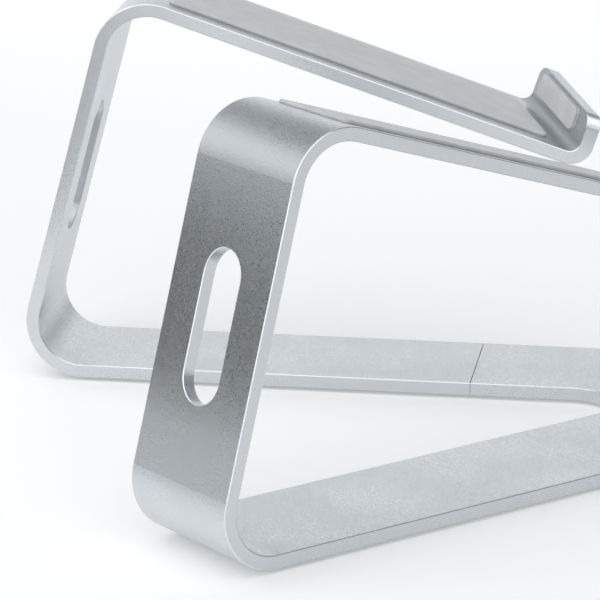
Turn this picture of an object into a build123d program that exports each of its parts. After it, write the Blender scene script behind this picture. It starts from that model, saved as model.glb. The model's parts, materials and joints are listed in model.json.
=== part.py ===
"""Passive laptop stand made of bent aluminium plate, in millimetres.

Two wide bands, each bent into a leg with a foot, a riser and a sloping arm, stand splayed
at the back and run towards each other at the front, where a centre plate joins their feet.
The centre plate has a tongue under each foot, held by countersunk screws from below.
Silicone pads cover the arms, the hooks at their ends and the underside.

The frame has +Z up, the user at -Y and the mirror plane at X = 0.  Its origin is the centre
of the bounding box in X and Y, on the surface that the stand rests on.
"""

import os
from math import asin, atan, cos, degrees, hypot, radians, sin, tan

from build123d import *

os.makedirs("parts", exist_ok=True)

# Overall sizes
rear_width = 300.0            # over the outer corners of the two rear bends
overall_depth = 240.0         # rear bends to the front edge of the centre plate
stand_height = 151.0          # underside of the feet to the top of the upper bends
toe_gap = 42.0                # between the inner edges of the two arms, at their hooks

# Bent band
plate_thickness = 5.0
band_width = 55.0
riser_lean = 14.5             # from the vertical, towards the front
arm_slope = 18.0              # down towards the front
lower_bend_radius = 17.0      # inside of the bend
upper_bend_radius = 17.0      # inside of the bend
edge_chamfer = 0.3

# Cable slot in the riser
slot_length = 54.8
slot_width = 20.4
slot_chamfer = 0.3

# Hook at the front end of each arm
rest_length = 155.0           # from the upper bend to the inner face of the hook
hook_bend_radius = 4.0        # inside of the bend
hook_height = 16.0            # above the arm's upper face
hook_corner_radius = 5.0

# Centre plate and its joint to the feet
seam_gap = 0.15
seam_break = 0.15             # broken edge along each side of the seam
plate_side = 61.0             # along the plate's outer edge, from the seam to the front corner
plate_neck = 30.0             # from the plate's front edge to the bottom of its notch
least_notch_radius = 8.0
front_corner_radius = 16.0
tongue_length = 24.0
tongue_width = 38.0
tongue_thickness = 2.2
tongue_corner_radius = 3.0
tongue_clearance = 0.15
screw_spacing_along = 12.0
screw_spacing_across = 24.0

# Countersunk screws, M3 with a 2 mm hexagon socket
screw_radius = 1.5
screw_head_radius = 2.8
screw_head_rim = 0.25
screw_socket_flats = 2.0
screw_socket_depth = 1.1
screw_sink = 0.1              # head below the underside
screw_hole_clearance = 0.2
thread_clearance = 0.02
thread_run_out = 0.3          # depth of the tapped hole past the screw's end
foot_skin = 0.6               # left above the tapped holes, so that none shows on the foot

# Pads and the adhesive film that holds each one
film_thickness = 0.2
arm_pad_inset = 8.0           # from the band's edges
arm_pad_recess = 0.5
arm_pad_proud = 1.5
arm_pad_corner_radius = 2.0
arm_pad_hook_gap = 4.0        # from the start of the hook's bend
hook_pad_length = 42.0
hook_pad_margin = 1.5         # above the hook's bend and below its top
hook_pad_thickness = 1.5
hook_pad_corner_radius = 2.5
foot_pad_recess = 0.8
foot_pad_proud = 1.5
foot_pad_corner_radius = 6.0
rear_pad_length = 18.0        # along the foot
rear_pad_width = 38.0
rear_pad_offset = 6.0         # from the lower bend to the pad's near end
front_pad_length = 34.0       # along the foot's direction
front_pad_width = 14.0
front_pad_offset = 14.0       # from the seam to the pad's near end
front_pad_inset = 8.0         # from the plate's outer edge to the pad
centre_pad_length = 44.0      # left to right
centre_pad_width = 13.0
pad_clearance = 0.15          # between a pad and the wall of its recess
pad_edge_radius = 0.4

# Leg outline, in the leg's own frame: X along the foot from the lower bend towards the
# front, Y across the band towards the middle of the stand, Z up from the foot's underside.
half_band = band_width / 2
lower_outer_radius = lower_bend_radius + plate_thickness
upper_outer_radius = upper_bend_radius + plate_thickness
lean = radians(riser_lean)
slope = radians(arm_slope)
riser_up = Vector(sin(lean), 0, cos(lean))
riser_out = Vector(-cos(lean), 0, sin(lean))
arm_along = Vector(cos(slope), 0, -sin(slope))
arm_up = Vector(sin(slope), 0, cos(slope))
lower_centre = Vector(0, 0, lower_outer_radius)
radius_step = (lower_outer_radius - upper_outer_radius) * sin(lean)
upper_centre_height = stand_height - upper_outer_radius
riser_length = (upper_centre_height - lower_outer_radius - radius_step) / cos(lean)
riser_foot = lower_centre + riser_out * lower_outer_radius
riser_top = riser_foot + riser_up * riser_length
upper_centre = riser_top - riser_out * upper_outer_radius
arm_start = upper_centre + arm_up * upper_outer_radius

# Plan angle between a leg and the front-to-back direction: it takes the outer corner of the
# rear bend to the rear width and the inner edge at the hook to the toe gap.
leg_reach = lower_outer_radius - edge_chamfer + arm_start.X + rest_length * cos(slope)
half_spread = (rear_width - toe_gap) / 2
splay = asin(half_spread / hypot(leg_reach, band_width)) - atan(band_width / leg_reach)

riser_plane = Plane((riser_foot + riser_top) / 2, x_dir=riser_up, z_dir=riser_out)
arm_plane = Plane(arm_start, x_dir=arm_along, z_dir=arm_up)

# Hook frame: Y along the hook's bend, which runs straight across the stand in plan, X across
# the bend towards the front, Z up from the arm, origin on the arm's centre line.
hook_skew = atan(tan(splay) / cos(slope))
hook_start = rest_length - hook_bend_radius / cos(hook_skew)
hook_place = arm_plane.location * Pos(hook_start, 0, 0) * Rot(0, 0, -degrees(hook_skew))

# Place of the left leg's frame in the stand's frame
corner_loss = edge_chamfer * sin(splay)
rear_reach_x = lower_outer_radius * sin(splay) + half_band * cos(splay) - corner_loss
rear_reach_y = lower_outer_radius * cos(splay) + half_band * sin(splay) - corner_loss
leg_x = rear_reach_x - rear_width / 2
leg_y = overall_depth / 2 - rear_reach_y
left_leg_place = Pos(leg_x, leg_y, foot_pad_proud) * Rot(0, 0, degrees(splay) - 90)

# The outer edge of each foot meets the front line at the plate's front corner; the seam
# lies one plate side behind it.
front_corner_along = (leg_y - half_band * sin(splay) + overall_depth / 2) / cos(splay)
foot_length = front_corner_along - plate_side - seam_gap

# The inner edges of the feet would meet at the tip; the notch ends in a full round before it.
tip_along = -(leg_x + half_band * cos(splay)) / sin(splay)
tip_y = leg_y - tip_along * cos(splay) + half_band * sin(splay)
least_notch_end = tip_y + least_notch_radius * (1 / sin(splay) - 1)
notch_end = max(plate_neck - overall_depth / 2, least_notch_end)
notch_radius = (notch_end - tip_y) * sin(splay) / (1 - sin(splay))

# Middle of each joint, in the leg's frame
joint_middle = foot_length - tongue_length / 2

# Tapped holes stop below the foot's upper face, and the screws stop short of their ends
tapped_depth = plate_thickness - foot_skin
screw_length = tapped_depth - thread_run_out - screw_sink

# Alignment of a turned shape that stands on the plane Z = 0
upright = (Align.CENTER, Align.CENTER, Align.MIN)


def right_of(left_piece):
    """The same piece on the other side of the stand."""
    return mirror(left_piece, about=Plane.YZ)


def rounded_block(length, width, height, radius):
    """Flat block centred on the origin in X and Y, with its underside at Z = 0."""
    return extrude(RectangleRounded(length, width, radius), height)


def in_plan(along, across):
    """A point of the left leg's frame, seen from above in the stand's frame."""
    x = leg_x + along * sin(splay) + across * cos(splay)
    y = leg_y - along * cos(splay) + across * sin(splay)
    return (x, y)


def screw_places():
    """Places of the four screws of one joint, in the leg's frame."""
    return Pos(joint_middle, 0, 0) * GridLocations(screw_spacing_along, screw_spacing_across, 2, 2)


def bent_band():
    """Foot, riser and arm as one bent strip; the arm runs on past the hook's place."""
    arm_run = rest_length + band_width
    lower_turn = 90 + riser_lean
    upper_turn = 90 - riser_lean + arm_slope
    lower = (lower_centre.X, lower_centre.Z)
    upper = (upper_centre.X, upper_centre.Z)
    arm_end = arm_start + arm_along * arm_run
    arm_end_below = arm_end - arm_up * plate_thickness
    with BuildSketch(Plane.XZ) as outline:
        with BuildLine():
            underside = Line((foot_length, 0), (0, 0))
            outer_low = CenterArc(lower, lower_outer_radius, -90, -lower_turn)
            outer_top = CenterArc(upper, upper_outer_radius, 180 - riser_lean, -upper_turn)
            Line(outer_low @ 1, outer_top @ 0)
            inner_low = CenterArc(lower, lower_bend_radius, -90, -lower_turn)
            inner_top = CenterArc(upper, upper_bend_radius, 180 - riser_lean, -upper_turn)
            Line(inner_low @ 1, inner_top @ 0)
            front = Line((arm_end.X, arm_end.Z), (arm_end_below.X, arm_end_below.Z))
            Line(outer_top @ 1, front @ 0)
            Line(inner_top @ 1, front @ 1)
            upper_side = Line(inner_low @ 0, (foot_length, plate_thickness))
            Line(upper_side @ 1, underside @ 0)
        make_face()
    return extrude(outline.sketch, half_band, both=True)


def hook():
    """Bent-up end of the arm, in the hook's frame, trimmed to the band's width."""
    outer_radius = hook_bend_radius + plate_thickness
    with BuildSketch(Plane.XZ) as outline:
        with BuildLine():
            inner = CenterArc((0, hook_bend_radius), hook_bend_radius, -90, 90)
            outer = CenterArc((0, hook_bend_radius), outer_radius, -90, 90)
            Polyline(inner @ 1, (hook_bend_radius, hook_height), (outer_radius, hook_height), outer @ 1)
            Line(inner @ 0, outer @ 0)
        make_face()
    bar = extrude(outline.sketch, band_width, both=True)
    side_walls = arm_plane.location * Box(4 * rest_length, band_width, 4 * hook_height)
    return (hook_place * bar) & side_walls


def slot_cutter():
    """Cable slot through the riser with a chamfer on both faces, in the riser's plane."""
    mouth = SlotOverall(slot_length + 2 * slot_chamfer, slot_width + 2 * slot_chamfer)
    throat = extrude(SlotOverall(slot_length, slot_width), -plate_thickness)
    outer_chamfer = extrude(mouth, -slot_chamfer, taper=45)
    inner_chamfer = Pos(0, 0, -plate_thickness) * extrude(mouth, slot_chamfer, taper=45)
    return riser_plane.location * (throat + outer_chamfer + inner_chamfer)


def on_outline(edge):
    """True for an edge between a broad face and the rim of the leg, away from the seam."""
    middle = edge.position_at(0.5)
    on_side = abs(abs(middle.Y) - half_band) < 0.01
    at_seam = abs(middle.X - foot_length) < 0.01 and middle.Z < plate_thickness + 0.01
    above_arm = (middle - arm_start).dot(arm_up)
    return not at_seam and (on_side or above_arm > hook_height - hook_corner_radius)


def rounded_hook_corners(leg):
    """The leg with the two upper corners of its hook rounded."""
    top = [edge for edge in leg.edges() if is_hook_corner(edge)]
    return fillet(top, hook_corner_radius)


def is_hook_corner(edge):
    """True for the two short edges at the ends of the hook's top."""
    middle = edge.position_at(0.5)
    at_top = abs((middle - arm_start).dot(arm_up) - hook_height) < 0.01
    return at_top and abs(abs(middle.Y) - half_band) < 0.01


def is_foot_end_top(edge):
    """True for the upper edge of the foot along the seam."""
    middle = edge.position_at(0.5)
    at_end = abs(middle.X - foot_length) < 0.01 and abs(middle.Z - plate_thickness) < 0.01
    return at_end and abs(middle.Y) < 0.01


def left_leg_blank():
    """Bent band with its hook, its rounded corners and its chamfered edges."""
    beyond = Pos(band_width, 0, 0) * Box(2 * band_width, 6 * band_width, 6 * plate_thickness)
    leg = (bent_band() - hook_place * beyond) + hook()
    leg = rounded_hook_corners(leg)
    leg = chamfer([edge for edge in leg.edges() if on_outline(edge)], edge_chamfer)
    seam_top = [edge for edge in leg.edges() if is_foot_end_top(edge)]
    return chamfer(seam_top, seam_break)


def arm_pad_outline(clearance=0.0):
    """Outline of the arm pad in the arm's plane, with its front end parallel to the hook."""
    half = half_band - arm_pad_inset
    end_middle = hook_start - arm_pad_hook_gap / cos(hook_skew)
    end_step = half * tan(hook_skew)
    corners = [(0, -half), (end_middle - end_step, -half), (end_middle + end_step, half), (0, half)]
    outline = make_face(Polyline(*corners, close=True))
    outline = fillet(outline.vertices(), arm_pad_corner_radius)
    return offset(outline, clearance) if clearance else outline


def rear_pad_place():
    """Middle of the rear foot pad on the foot's underside, in the leg's frame."""
    return Pos(rear_pad_offset + rear_pad_length / 2, 0, 0)


def front_pad_place():
    """Middle of the front foot pad on the centre plate's underside, in the leg's frame."""
    along = foot_length + front_pad_offset + front_pad_length / 2
    across = front_pad_inset + front_pad_width / 2 - half_band
    return Pos(along, across, 0)


def pad_pocket(length, width):
    """Recess for a foot pad, cut upwards from the underside."""
    grow = 2 * pad_clearance
    return rounded_block(length + grow, width + grow, foot_pad_recess, foot_pad_corner_radius)


def tongue_pocket():
    """Space for the centre plate's tongue under the end of the foot, open at the seam."""
    radius = tongue_corner_radius + tongue_clearance
    length = tongue_length + tongue_clearance + 2 * radius
    width = tongue_width + 2 * tongue_clearance
    pocket = rounded_block(length, width, tongue_thickness, radius)
    return Pos(foot_length + 2 * radius - length / 2, 0, 0) * pocket


def left_arm():
    """Left leg in its own frame: foot, riser, arm and hook in one bent band."""
    tapped_hole = Cylinder(screw_radius + thread_clearance, tapped_depth, align=upright)
    recess = extrude(arm_pad_outline(pad_clearance), -arm_pad_recess)
    leg = left_leg_blank() - slot_cutter() - tongue_pocket()
    leg -= arm_plane.location * recess
    leg -= rear_pad_place() * pad_pocket(rear_pad_length, rear_pad_width)
    for place in screw_places():
        leg -= place * tapped_hole
    return leg


def plate_outline():
    """Outline of the centre plate from above: two seams, a notch at the back, a wide front."""
    seam = foot_length + seam_gap
    tip = (0, tip_y)
    left = [in_plan(seam, half_band), in_plan(seam, -half_band), in_plan(front_corner_along, -half_band)]
    right = [(-x, y) for x, y in reversed(left)]
    outline = make_face(Polyline(tip, *left, *right, close=True))
    outline = fillet([v for v in outline.vertices() if at_point(v, tip)], notch_radius)
    fronts = [v for v in outline.vertices() if at_point(v, left[2]) or at_point(v, right[0])]
    return fillet(fronts, front_corner_radius)


def at_point(vertex, point):
    """True where a vertex of a flat outline lies at the given point."""
    return abs(vertex.X - point[0]) < 0.01 and abs(vertex.Y - point[1]) < 0.01


def tongue():
    """Thin tongue that reaches from the centre plate under the foot, in the leg's frame."""
    root = 2 * tongue_corner_radius
    length = tongue_length - tongue_clearance + root
    block = rounded_block(length, tongue_width, tongue_thickness, tongue_corner_radius)
    return Pos(foot_length + root - length / 2, 0, 0) * block


def screw_hole():
    """Countersunk clearance hole through the tongue, whose cone seats the screw's cone."""
    shank = screw_radius + screw_hole_clearance
    head = screw_head_radius + screw_hole_clearance
    rim = screw_sink + screw_head_rim - screw_hole_clearance
    hole = Cylinder(shank, tongue_thickness, align=upright)
    mouth = Cylinder(head, rim, align=upright)
    seat = Cone(head, shank, head - shank, align=upright)
    return hole + mouth + Pos(0, 0, rim) * seat


def plate_blank():
    """Centre plate with the edges of its outline chamfered, without tongues or recesses."""
    plate = Pos(0, 0, foot_pad_proud) * extrude(plate_outline(), plate_thickness)
    seams = []
    for sign in (-1, 1):
        x, y = in_plan(foot_length + seam_gap, 0)
        seams.append((sign * x, y))
    level = [edge for edge in plate.edges() if abs(edge.tangent_at(0.5).Z) < 0.5]
    rim = [edge for edge in level if not any(crosses(edge, seam) for seam in seams)]
    plate = chamfer(rim, edge_chamfer)
    tops = [edge for edge in plate.edges() if is_seam_top(edge, seams)]
    return chamfer(tops, seam_break)


def crosses(edge, seam):
    """True for an edge whose middle lies above or below the middle of a seam."""
    middle = edge.position_at(0.5)
    return abs(middle.X - seam[0]) < 0.5 and abs(middle.Y - seam[1]) < 0.5


def is_seam_top(edge, seams):
    """True for the upper edge of the plate along a seam."""
    at_top = abs(edge.position_at(0.5).Z - foot_pad_proud - plate_thickness) < 0.01
    return at_top and any(crosses(edge, seam) for seam in seams)


def base_plate():
    """Centre plate with a tongue under each foot, screw holes and pad recesses."""
    plate = plate_blank()
    left_tongue = tongue()
    for place in screw_places():
        left_tongue -= place * screw_hole()
    left_tongue = left_leg_place * left_tongue
    front_pocket = left_leg_place * front_pad_place() * pad_pocket(front_pad_length, front_pad_width)
    plate += left_tongue
    plate += right_of(left_tongue)
    plate -= front_pocket
    plate -= right_of(front_pocket)
    return plate - centre_pad_place() * pad_pocket(centre_pad_length, centre_pad_width)


def joint_screws():
    """The four screws of one joint, in the leg's frame, with their heads downwards."""
    cone_height = screw_head_radius - screw_radius
    head = Cylinder(screw_head_radius, screw_head_rim, align=upright)
    cone = Pos(0, 0, screw_head_rim) * Cone(screw_head_radius, screw_radius, cone_height, align=upright)
    shank = Cylinder(screw_radius, screw_length, align=upright)
    socket = extrude(RegularPolygon(screw_socket_flats / 2, 6, major_radius=False), screw_socket_depth)
    screw = Pos(0, 0, screw_sink) * (head + cone + shank - socket)
    return Compound([place * screw for place in screw_places()])


def softened(pad):
    """The pad with the rim of its upper face rounded."""
    return fillet(pad.faces().sort_by(Axis.Z)[-1].edges(), pad_edge_radius)


def arm_pad():
    """Silicone pad that lies in the recess on the arm, and the film under it."""
    outline = arm_pad_outline()
    film = Pos(0, 0, -arm_pad_recess) * extrude(outline, film_thickness)
    depth = arm_pad_recess - film_thickness + arm_pad_proud
    pad = Pos(0, 0, film_thickness - arm_pad_recess) * extrude(outline, depth)
    return arm_plane.location * softened(pad), arm_plane.location * film


def hook_pad():
    """Silicone pad on the inner face of the hook, and the film behind it."""
    height = hook_height - hook_bend_radius - 2 * hook_pad_margin
    middle = (hook_bend_radius, 0, (hook_bend_radius + hook_height) / 2)
    face = Plane(middle, x_dir=(0, 1, 0), z_dir=(-1, 0, 0))
    outline = RectangleRounded(hook_pad_length, height, hook_pad_corner_radius)
    film = extrude(outline, film_thickness)
    pad = Pos(0, 0, film_thickness) * extrude(outline, hook_pad_thickness)
    on_hook = hook_place * face.location
    return on_hook * softened(pad), on_hook * film


def foot_pad(length, width):
    """Silicone foot with its film, centred over a recess, standing out below the plate."""
    film = rounded_block(length, width, film_thickness, foot_pad_corner_radius)
    film = Pos(0, 0, foot_pad_recess - film_thickness) * film
    depth = foot_pad_recess - film_thickness + foot_pad_proud
    pad = rounded_block(length, width, depth, foot_pad_corner_radius)
    pad = Pos(0, 0, -foot_pad_proud) * pad
    rim = pad.faces().sort_by(Axis.Z)[0].edges()
    return fillet(rim, pad_edge_radius), film


def centre_pad_place():
    """Middle of the pad under the middle of the centre plate, in the stand's frame."""
    return Pos(0, (notch_end - overall_depth / 2) / 2, foot_pad_proud)


def save(shape, node):
    """Write one sub-part."""
    export_step(shape, f"parts/{node}.step")


def on_left(piece):
    """A piece of the left leg moved from the leg's frame to its place in the stand."""
    return left_leg_place * piece


def save_pair(left_piece, name):
    """Write a sub-part of the left leg and the same sub-part of the right leg."""
    save(on_left(left_piece), f"left_{name}")
    save(right_of(on_left(left_piece)), f"right_{name}")


arm_silicone, arm_film = arm_pad()
hook_silicone, hook_film = hook_pad()
rear_pad = [rear_pad_place() * piece for piece in foot_pad(rear_pad_length, rear_pad_width)]
front_pad = [front_pad_place() * piece for piece in foot_pad(front_pad_length, front_pad_width)]
centre_pad = [centre_pad_place() * piece for piece in foot_pad(centre_pad_length, centre_pad_width)]

print(f"splay {degrees(splay):.2f} degrees, foot {foot_length:.2f} mm, notch radius {notch_radius:.2f} mm")

save_pair(left_arm(), "arm")
save_pair(arm_silicone, "arm_pad")
save_pair(hook_silicone, "hook_pad")
save_pair(rear_pad[0], "rear_foot_pad")
save_pair(front_pad[0], "front_foot_pad")
save_pair(joint_screws(), "joint_screws")
save(base_plate(), "base_plate")
save(centre_pad[0], "centre_foot_pad")

foot_films = [on_left(rear_pad[1]), on_left(front_pad[1])]
foot_films += [right_of(film) for film in foot_films]
save(Compound([on_left(arm_film), right_of(on_left(arm_film))]), "arm_pad_films")
save(Compound([on_left(hook_film), right_of(on_left(hook_film))]), "hook_pad_films")
save(Compound(foot_films + [centre_pad[1]]), "foot_pad_films")
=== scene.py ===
"""Looks of the bent aluminium laptop stand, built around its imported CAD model, in metres.

The legs, centre plate, screws and films keep their CAD shapes and get their materials here.
The nine silicone pads are made again as finer pieces, each from the outline of the plain
solid that it stands for.
"""

import json
from math import atan2, cos, pi, radians, sin

import bmesh
import bpy
from mathutils import Matrix, Vector
from mathutils.geometry import convex_hull_2d


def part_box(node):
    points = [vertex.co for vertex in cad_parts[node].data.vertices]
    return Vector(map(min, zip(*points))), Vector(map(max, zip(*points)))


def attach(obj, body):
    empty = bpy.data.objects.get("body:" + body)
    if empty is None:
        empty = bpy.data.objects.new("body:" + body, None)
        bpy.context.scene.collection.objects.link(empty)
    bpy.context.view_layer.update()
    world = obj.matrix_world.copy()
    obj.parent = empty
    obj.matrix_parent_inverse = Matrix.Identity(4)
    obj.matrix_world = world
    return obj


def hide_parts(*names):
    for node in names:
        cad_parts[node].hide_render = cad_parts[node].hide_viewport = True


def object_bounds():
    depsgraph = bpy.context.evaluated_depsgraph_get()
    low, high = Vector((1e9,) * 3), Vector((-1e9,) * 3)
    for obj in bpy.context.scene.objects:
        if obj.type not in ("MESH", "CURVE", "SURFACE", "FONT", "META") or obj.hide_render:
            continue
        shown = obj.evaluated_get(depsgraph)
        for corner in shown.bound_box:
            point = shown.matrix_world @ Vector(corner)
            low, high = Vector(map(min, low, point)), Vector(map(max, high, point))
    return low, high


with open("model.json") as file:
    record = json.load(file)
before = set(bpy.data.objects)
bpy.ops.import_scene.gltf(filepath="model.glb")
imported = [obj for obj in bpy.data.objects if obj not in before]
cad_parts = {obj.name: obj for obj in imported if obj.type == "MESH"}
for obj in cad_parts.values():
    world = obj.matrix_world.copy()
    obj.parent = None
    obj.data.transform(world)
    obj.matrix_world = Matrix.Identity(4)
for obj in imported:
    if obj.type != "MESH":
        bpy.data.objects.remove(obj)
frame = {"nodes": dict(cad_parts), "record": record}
cad_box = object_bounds()

MM = 0.001

# Camera
VIEW_TURN = radians(14.5)       # from the +X direction, towards the user's side
VIEW_DROP = radians(16.1)       # down from the horizontal
VIEW_ROLL = radians(0.25)
VIEW_DISTANCE = 1.352
LENS = 235.0
AIM_AHEAD = 15.2 * MM           # along the foot, from the middle of the rear foot pad
AIM_HEIGHT = 85.5 * MM

# Directions of the left leg, read from the face that its arm pad rests on
rest_face = next(m for m in frame["record"]["mounts"] if m["name"] == "left_rest_face")
ARM_UP = Vector(rest_face["axis"]).normalized()
SPLAY = atan2(ARM_UP.x, -ARM_UP.y)
FOOT_ALONG = Vector((sin(SPLAY), -cos(SPLAY), 0))
FOOT_ACROSS = Vector((cos(SPLAY), sin(SPLAY), 0))
RISER_LEAN = radians(14.5)
RISER_OUT = Vector((0, 0, sin(RISER_LEAN))) - FOOT_ALONG * cos(RISER_LEAN)
SLOT_BEHIND = 20.0 * MM         # from the middle of the rear foot pad back to the slot's middle
SLOT_HEIGHT = 77.0 * MM
SLOT_REACH = 34.0 * MM          # from the slot's middle to past its ends

# Silicone pads
RIM = 0.5 * MM                  # radius of the rounded rim of an arm pad or a foot
HOOK_RIM = 0.4 * MM
REST_CROWN = 0.06 * MM          # how far the middle of the face stands above its rim
SMALL_CROWN = 0.05 * MM
OUTLINE_STEP = 1.5 * MM
SAME_POINT = 0.05 * MM          # corners of an outline nearer than this count as one
RIM_STEPS = 6
CROWN_STEPS = 6

# Studio, in metres.  The flag stands where the camera sees the left riser's flat face mirror,
# square to the line of sight that it mirrors.
FLOOR_HALF = 8.0
FLAG_MIDDLE = Vector((-0.059, 0.21, 0))
FLAG_ALONG = Vector((0.889, -0.456, 0))
FLAG_HALF = 0.16
FLAG_LOW = Vector((0, 0, 0.046))
FLAG_HIGH = Vector((0, 0, 0.134))


def middle(node):
    """Middle of a CAD node's box."""
    low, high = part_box(node)
    return (low + high) / 2


# ---------------------------------------------------------------- materials

class Nodes:
    """A material's node tree, with short calls for the nodes used here."""

    def __init__(self, name):
        self.material = bpy.data.materials.new(name)
        self.material.use_nodes = True
        self.tree = self.material.node_tree
        self.shader = self.tree.nodes["Principled BSDF"]
        self.place = self.add("ShaderNodeTexCoord").outputs["Object"]

    def add(self, kind, **settings):
        node = self.tree.nodes.new(kind)
        for key, value in settings.items():
            setattr(node, key, value)
        return node

    def link(self, source, target):
        self.tree.links.new(source, target)

    def noise(self, size, detail=2.0, rough=0.5, stretch=None):
        """Soft noise, 0 to 1, whose blobs are about size across, or less where stretched."""
        node = self.add("ShaderNodeTexNoise")
        node.inputs["Scale"].default_value = 1 / size
        node.inputs["Detail"].default_value = detail
        node.inputs["Roughness"].default_value = rough
        place = self.place
        if stretch:
            mapping = self.add("ShaderNodeMapping")
            mapping.inputs["Scale"].default_value = stretch
            self.link(place, mapping.inputs["Vector"])
            place = mapping.outputs["Vector"]
        self.link(place, node.inputs["Vector"])
        return node.outputs["Fac"]

    def cells(self, size):
        """A random value, 0 to 1, for each of many small cells."""
        node = self.add("ShaderNodeTexVoronoi")
        node.inputs["Scale"].default_value = 1 / size
        self.link(self.place, node.inputs["Vector"])
        split = self.add("ShaderNodeSeparateColor")
        self.link(node.outputs["Color"], split.inputs["Color"])
        return split.outputs["Red"]

    def spread(self, value, low, high, to_low=0.0, to_high=1.0):
        """value from low..high to to_low..to_high, with soft ends."""
        node = self.add("ShaderNodeMapRange", interpolation_type="SMOOTHSTEP")
        self.link(value, node.inputs["Value"])
        node.inputs["From Min"].default_value = low
        node.inputs["From Max"].default_value = high
        node.inputs["To Min"].default_value = to_low
        node.inputs["To Max"].default_value = to_high
        return node.outputs["Result"]

    def maths(self, operation, first, second):
        node = self.add("ShaderNodeMath", operation=operation)
        for socket, value in zip(node.inputs, (first, second)):
            if isinstance(value, (int, float)):
                socket.default_value = value
            else:
                self.link(value, socket)
        return node.outputs["Value"]

    def mix(self, factor, first, second):
        """Colour from first at 0 to second at 1."""
        node = self.add("ShaderNodeMix", data_type="RGBA")
        self.link(factor, node.inputs["Factor"])
        for socket, value in ((node.inputs["A"], first), (node.inputs["B"], second)):
            if isinstance(value, tuple):
                socket.default_value = (*value, 1)
            else:
                self.link(value, socket)
        return node.outputs["Result"]

    def facing(self, direction):
        """How far the face's own normal lies along a direction, 0 to 1."""
        dot = self.add("ShaderNodeVectorMath", operation="DOT_PRODUCT")
        self.link(self.add("ShaderNodeNewGeometry").outputs["True Normal"], dot.inputs[0])
        dot.inputs[1].default_value = direction
        return self.maths("ABSOLUTE", dot.outputs["Value"], 0.0)

    def oblique(self, direction):
        """1 on faces that lie at about 45 degrees to a direction, 0 on the others."""
        turn = self.facing(direction)
        above = self.spread(turn, 0.45, 0.55)
        below = self.spread(turn, 0.88, 0.95, 1.0, 0.0)
        return self.maths("MULTIPLY", above, below)

    def within(self, centre, radius):
        """1 nearer to a point than the radius, 0 further away."""
        node = self.add("ShaderNodeVectorMath", operation="DISTANCE")
        self.link(self.place, node.inputs[0])
        node.inputs[1].default_value = centre
        return self.maths("LESS_THAN", node.outputs["Value"], radius)

    def blend(self, factor, first, second):
        """Number from first at 0 to second at 1."""
        node = self.add("ShaderNodeMix", data_type="FLOAT")
        for key, value in (("Factor", factor), ("A", first), ("B", second)):
            if isinstance(value, (int, float)):
                node.inputs[key].default_value = value
            else:
                self.link(value, node.inputs[key])
        return node.outputs["Result"]

    def bump(self, height, depth, strength):
        """Normals of a surface that height, 0 to 1, raises by up to depth."""
        node = self.add("ShaderNodeBump")
        node.inputs["Strength"].default_value = strength
        node.inputs["Distance"].default_value = depth
        self.link(height, node.inputs["Height"])
        return node.outputs["Normal"]

    def set(self, **inputs):
        """Sets or links the shader's sockets, with _ for a space in their names."""
        for key, value in inputs.items():
            socket = self.shader.inputs[key.replace("_", " ")]
            if isinstance(value, bpy.types.NodeSocket):
                self.link(value, socket)
            else:
                socket.default_value = (*value, 1) if isinstance(value, tuple) else value
        return self.material


def anodised(name, cut_of, wall_of):
    """Bead-blasted clear-anodised aluminium.  cut_of finds its bright chamfers, and wall_of
    the sheared side walls of the plate, which are smoother than its broad faces."""
    n = Nodes(name)
    cut = cut_of(n)
    blasted = n.maths("SUBTRACT", 1.0, n.maths("MULTIPLY", wall_of(n), 0.7))
    grain = n.maths("MULTIPLY", n.noise(0.55 * MM, 2.0, 0.6), blasted)
    pits = n.maths("MULTIPLY", n.cells(0.42 * MM), blasted)
    cloud = n.noise(35 * MM, 2.0)
    satin = n.mix(grain, (0.615, 0.65, 0.67), (0.695, 0.725, 0.745))
    satin = n.mix(n.spread(cloud, 0.35, 0.65, 0.0, 0.3), satin, (0.64, 0.67, 0.69))
    nicks = n.spread(n.noise(1.5 * MM, 4.0, 0.7), 0.3, 0.6, 0.7, 1.0)
    bright = n.maths("MULTIPLY", cut, nicks)
    colour = n.mix(bright, satin, (0.80, 0.815, 0.825))
    rough = n.blend(pits, 0.27, 0.45)
    rough = n.maths("ADD", rough, n.spread(cloud, 0.3, 0.7, -0.02, 0.02))
    rough = n.blend(bright, rough, 0.30)
    height = n.maths("MULTIPLY", grain, n.maths("SUBTRACT", 1.0, cut))
    normal = n.bump(height, 0.10 * MM, 0.9)
    return n.set(Base_Color=colour, Metallic=1.0, Roughness=rough, Normal=normal)


def leg_chamfers(sign):
    """Where one leg's chamfers are: at its edges, and round the mouths of its slot."""
    flip = Vector((sign, 1, 1))
    slot = middle("left_rear_foot_pad") - FOOT_ALONG * SLOT_BEHIND
    slot.z = SLOT_HEIGHT

    def cut(n):
        by_slot = n.within(slot * flip, SLOT_REACH)
        return n.blend(by_slot, n.oblique(FOOT_ACROSS * flip), n.oblique(RISER_OUT * flip))

    return cut


def leg_walls(sign):
    """Where one leg's side walls are."""
    across = FOOT_ACROSS * Vector((sign, 1, 1))
    return lambda n: n.spread(n.facing(across), 0.92, 0.98)


def plate_chamfers(n):
    """Where the centre plate's chamfers are."""
    return n.oblique(Vector((0, 0, 1)))


def plate_walls(n):
    """Where the centre plate's side walls are."""
    return n.spread(n.facing(Vector((0, 0, 1))), 0.08, 0.02)


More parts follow.
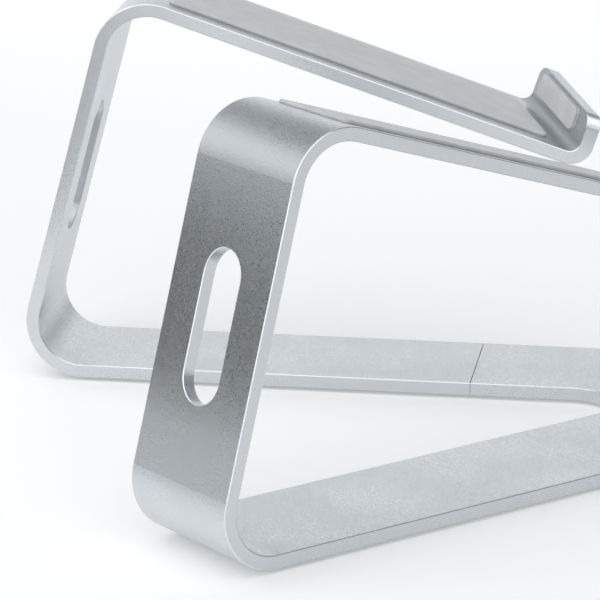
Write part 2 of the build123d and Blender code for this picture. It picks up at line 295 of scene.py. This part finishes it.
def silicone(name, light, dark):
    """Matte moulded silicone with a fine textured skin and a little dust."""
    n = Nodes(name)
    skin = n.noise(0.25 * MM, 2.0)
    patch = n.noise(9 * MM, 3.0)
    dust = n.spread(n.noise(0.5 * MM, 4.0, 0.7), 0.66, 0.74)
    colour = n.mix(n.spread(patch, 0.3, 0.7), dark, light)
    colour = n.mix(n.maths("MULTIPLY", dust, 0.35), colour, (0.86, 0.86, 0.85))
    rough = n.spread(patch, 0.3, 0.7, 0.5, 0.62)
    return n.set(
        Base_Color=colour,
        Roughness=rough,
        Sheen_Weight=0.15,
        Normal=n.bump(skin, 0.04 * MM, 0.6),
    )


def screw_steel():
    """Zinc-plated steel with turning marks and small scratches."""
    n = Nodes("screw_steel")
    marks = n.noise(0.15 * MM, 2.0, 0.5, (1, 6, 1))
    patch = n.noise(1.2 * MM, 3.0)
    colour = n.mix(n.spread(patch, 0.3, 0.7), (0.52, 0.53, 0.55), (0.68, 0.68, 0.69))
    rough = n.spread(marks, 0.3, 0.7, 0.22, 0.38)
    normal = n.bump(marks, 0.02 * MM, 0.5)
    return n.set(Base_Color=colour, Metallic=1.0, Roughness=rough, Normal=normal)


def adhesive_film():
    """Milky double-sided film with tiny trapped bubbles."""
    n = Nodes("adhesive_film")
    bubbles = n.noise(0.6 * MM, 2.0)
    colour = n.mix(n.spread(bubbles, 0.4, 0.7), (0.72, 0.71, 0.67), (0.84, 0.83, 0.80))
    return n.set(
        Base_Color=colour,
        Roughness=n.spread(bubbles, 0.3, 0.7, 0.3, 0.5),
        Normal=n.bump(bubbles, 0.03 * MM, 0.5),
    )


def paint(node, material):
    """Gives a CAD node its material."""
    slots = frame["nodes"][node].data.materials
    slots.clear()
    slots.append(material)


# ---------------------------------------------------------------- pads

def outline_of(node, up):
    """Outline of a flat CAD solid seen along up: its plane's matrix, the points in that
    plane, and the solid's height."""
    vertices = [v.co for v in frame["nodes"][node].data.vertices]
    top = max(v.dot(up) for v in vertices)
    low = min(v.dot(up) for v in vertices)
    origin = sum(vertices, Vector()) / len(vertices)
    origin += up * (low - origin.dot(up))
    side = Vector((1, 0, 0))
    x = (side - up * side.dot(up)).normalized()
    y = up.cross(x)
    place = Matrix.Translation(origin) @ Matrix((x, y, up)).transposed().to_4x4()
    flat = [Vector(((v - origin).dot(x), (v - origin).dot(y))) for v in vertices]
    hull = [flat[i] for i in convex_hull_2d(flat)]
    pairs = zip(hull[-1:] + hull[:-1], hull)
    hull = [here for before, here in pairs if (here - before).length > SAME_POINT]
    return place, hull, top - low


def evenly(points, step):
    """A closed outline with points about a step apart, the given points kept."""
    found = []
    for here, there in zip(points, points[1:] + points[:1]):
        gap = (there - here).length
        count = max(1, round(gap / step))
        found += [here.lerp(there, i / count) for i in range(count)]
    return found


def signed_area(points):
    """Area inside a closed outline, negative where it runs clockwise."""
    return sum(a.cross(b) for a, b in zip(points, points[1:] + points[:1])) / 2


def inset(points, distance):
    """A convex outline that runs anticlockwise, moved inwards."""
    moved = []
    for before, here, after in zip(points[-1:] + points[:-1], points, points[1:] + points[:1]):
        a = (here - before).normalized()
        b = (after - here).normalized()
        normal = Vector((-a.y - b.y, a.x + b.x)).normalized()
        share = max(0.5, normal.dot(Vector((-a.y, a.x))))
        moved.append(here + normal * (distance / share))
    return moved


def moulded_pad(name, node, up, rim, crown, material):
    """A silicone pad with a rounded rim and a slightly crowned face, in a CAD solid's place."""
    place, outline, height = outline_of(node, up)
    if signed_area(outline) < 0:
        outline.reverse()
    outline = evenly(outline, OUTLINE_STEP)
    rings = [(0.0, 0.0), (0.0, height - crown - rim)]
    for i in range(1, RIM_STEPS + 1):
        turn = i * pi / 2 / RIM_STEPS
        rings.append((rim * (1 - cos(turn)), height - crown - rim * (1 - sin(turn))))
    mesh = bmesh.new()
    loops = []
    for inward, z in rings:
        points = inset(outline, inward) if inward else outline
        loops.append([mesh.verts.new((p.x, p.y, z)) for p in points])
    centre = sum(points, Vector((0, 0))) / len(points)
    for i in range(1, CROWN_STEPS):
        share = i / CROWN_STEPS
        z = height - crown * (1 - share) ** 2
        loops.append([mesh.verts.new((*p.lerp(centre, share), z)) for p in points])
    for lower, upper in zip(loops, loops[1:]):
        for i in range(len(lower)):
            j = (i + 1) % len(lower)
            mesh.faces.new((lower[i], lower[j], upper[j], upper[i]))
    mesh.faces.new(loops[-1])
    mesh.faces.new(reversed(loops[0]))
    for face in mesh.faces:
        face.smooth = True
    data = bpy.data.meshes.new(name)
    mesh.to_mesh(data)
    mesh.free()
    piece = bpy.data.objects.new(name, data)
    bpy.context.scene.collection.objects.link(piece)
    data.transform(place)
    data.materials.append(material)
    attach(piece, "root")
    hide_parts(node)
    return piece


# ---------------------------------------------------------------- studio

def flat_piece(name, corners, material):
    """A flat piece of the studio with four corners, given in metres."""
    mesh = bmesh.new()
    mesh.faces.new([mesh.verts.new(corner) for corner in corners])
    data = bpy.data.meshes.new(name)
    mesh.to_mesh(data)
    mesh.free()
    data.materials.append(material)
    piece = bpy.data.objects.new(name, data)
    bpy.context.scene.collection.objects.link(piece)
    return piece


def studio_floor():
    """Large white floor at the height that the feet stand on, with a faint glow of its own."""
    n = Nodes("floor")
    shade = n.mix(n.noise(0.3, 2.0), (0.90, 0.90, 0.90), (0.92, 0.92, 0.92))
    level = cad_box[0].z
    corners = [(x * FLOOR_HALF, y * FLOOR_HALF, level) for x, y in ((-1, -1), (1, -1), (1, 1), (-1, 1))]
    white = n.set(Base_Color=shade, Roughness=0.7, Emission_Color=(1, 1, 1), Emission_Strength=0.2)
    flat_piece("floor", corners, white)


def grey_flag():
    """Grey card close behind the stand, seen only in reflections, that deepens the left riser."""
    n = Nodes("flag")
    shade = n.mix(n.noise(0.1, 2.0), (0.20, 0.20, 0.20), (0.24, 0.24, 0.24))
    left = FLAG_MIDDLE - FLAG_ALONG * FLAG_HALF
    right = FLAG_MIDDLE + FLAG_ALONG * FLAG_HALF
    corners = [left + FLAG_LOW, right + FLAG_LOW, right + FLAG_HIGH, left + FLAG_HIGH]
    flag = flat_piece("flag", corners, n.set(Base_Color=shade, Roughness=0.9))
    flag.visible_camera = False
    flag.visible_shadow = False
    flag.visible_diffuse = False


def softbox(name, place, target, width, height, power):
    """A rectangular lamp turned towards a target, hidden from the camera."""
    light = bpy.data.lights.new(name, "AREA")
    light.shape = "RECTANGLE"
    light.size = width
    light.size_y = height
    light.energy = power
    lamp = bpy.data.objects.new(name, light)
    bpy.context.scene.collection.objects.link(lamp)
    lamp.location = place
    lamp.visible_camera = False
    lamp.rotation_euler = (Vector(target) - Vector(place)).to_track_quat("-Z", "Y").to_euler()


def studio_light():
    """A wide soft light from above and three softboxes, in surroundings of a middle grey."""
    world = bpy.data.worlds.new("studio")
    world.use_nodes = True
    background = world.node_tree.nodes["Background"]
    background.inputs["Color"].default_value = (0.29, 0.30, 0.315, 1)
    bpy.context.scene.world = world
    sky = bpy.data.lights.new("overhead", "SUN")
    sky.angle = radians(90)
    sky.energy = 1.6
    lamp = bpy.data.objects.new("overhead", sky)
    lamp.rotation_euler = Vector((0.35, -0.35, -0.87)).to_track_quat("-Z", "Y").to_euler()
    bpy.context.scene.collection.objects.link(lamp)
    softbox("beyond", (1.34, -0.35, 0.42), (0, 0, 0.02), 1.3, 0.8, 2.6)
    softbox("behind", (-0.03, 0.27, 0.225), (-0.12, 0.09, 0.13), 0.5, 0.14, 0.13)
    softbox("beside", (-1.7, 0.87, 0.45), (0, 0, 0.1), 1.2, 0.8, 3.2)


def main_camera():
    """Camera behind the stand's left side, aimed at the middle of the left riser."""
    ahead = Vector((cos(VIEW_TURN), -sin(VIEW_TURN), 0))
    sight = ahead * cos(VIEW_DROP) - Vector((0, 0, sin(VIEW_DROP)))
    target = middle("left_rear_foot_pad") + FOOT_ALONG * AIM_AHEAD
    target.z = AIM_HEIGHT
    camera = bpy.data.objects.new("camera", bpy.data.cameras.new("camera"))
    bpy.context.scene.collection.objects.link(camera)
    camera.data.lens = LENS
    camera.data.sensor_width = 36.0
    camera.data.clip_end = 50.0
    camera.location = target - sight * VIEW_DISTANCE
    level = sight.to_track_quat("-Z", "Y").to_matrix()
    camera.rotation_euler = (level @ Matrix.Rotation(VIEW_ROLL, 3, "Z")).to_euler()
    bpy.context.scene.camera = camera


# ---------------------------------------------------------------- build

paint("left_arm", anodised("anodised_left", leg_chamfers(1), leg_walls(1)))
paint("right_arm", anodised("anodised_right", leg_chamfers(-1), leg_walls(-1)))
paint("base_plate", anodised("anodised_plate", plate_chamfers, plate_walls))
steel = screw_steel()
film = adhesive_film()
for side in ("left", "right"):
    paint(f"{side}_joint_screws", steel)
for films in ("arm_pad_films", "hook_pad_films", "foot_pad_films"):
    paint(films, film)

rest_silicone = silicone("rest_silicone", (0.66, 0.665, 0.67), (0.58, 0.585, 0.59))
foot_silicone = silicone("foot_silicone", (0.34, 0.345, 0.35), (0.27, 0.275, 0.28))
down = Vector((0, 0, -1))
for side, sign in (("left", 1), ("right", -1)):
    up = Vector((sign * ARM_UP.x, ARM_UP.y, ARM_UP.z))
    over = Vector((up.z, 0, -up.x)).normalized()
    hook_in = up.cross(over)
    moulded_pad(
        f"{side}_hook_cushion", f"{side}_hook_pad", hook_in, HOOK_RIM, SMALL_CROWN,
        rest_silicone,
    )
    moulded_pad(
        f"{side}_arm_cushion", f"{side}_arm_pad", up, RIM, REST_CROWN,
        rest_silicone,
    )
    for where in ("rear", "front"):
        moulded_pad(
            f"{side}_{where}_foot", f"{side}_{where}_foot_pad", down, RIM, SMALL_CROWN,
            foot_silicone,
        )
moulded_pad(
    "centre_foot", "centre_foot_pad", down, RIM, SMALL_CROWN,
    foot_silicone,
)

studio_floor()
grey_flag()
studio_light()
main_camera()

bpy.context.scene.view_settings.view_transform = "Standard"
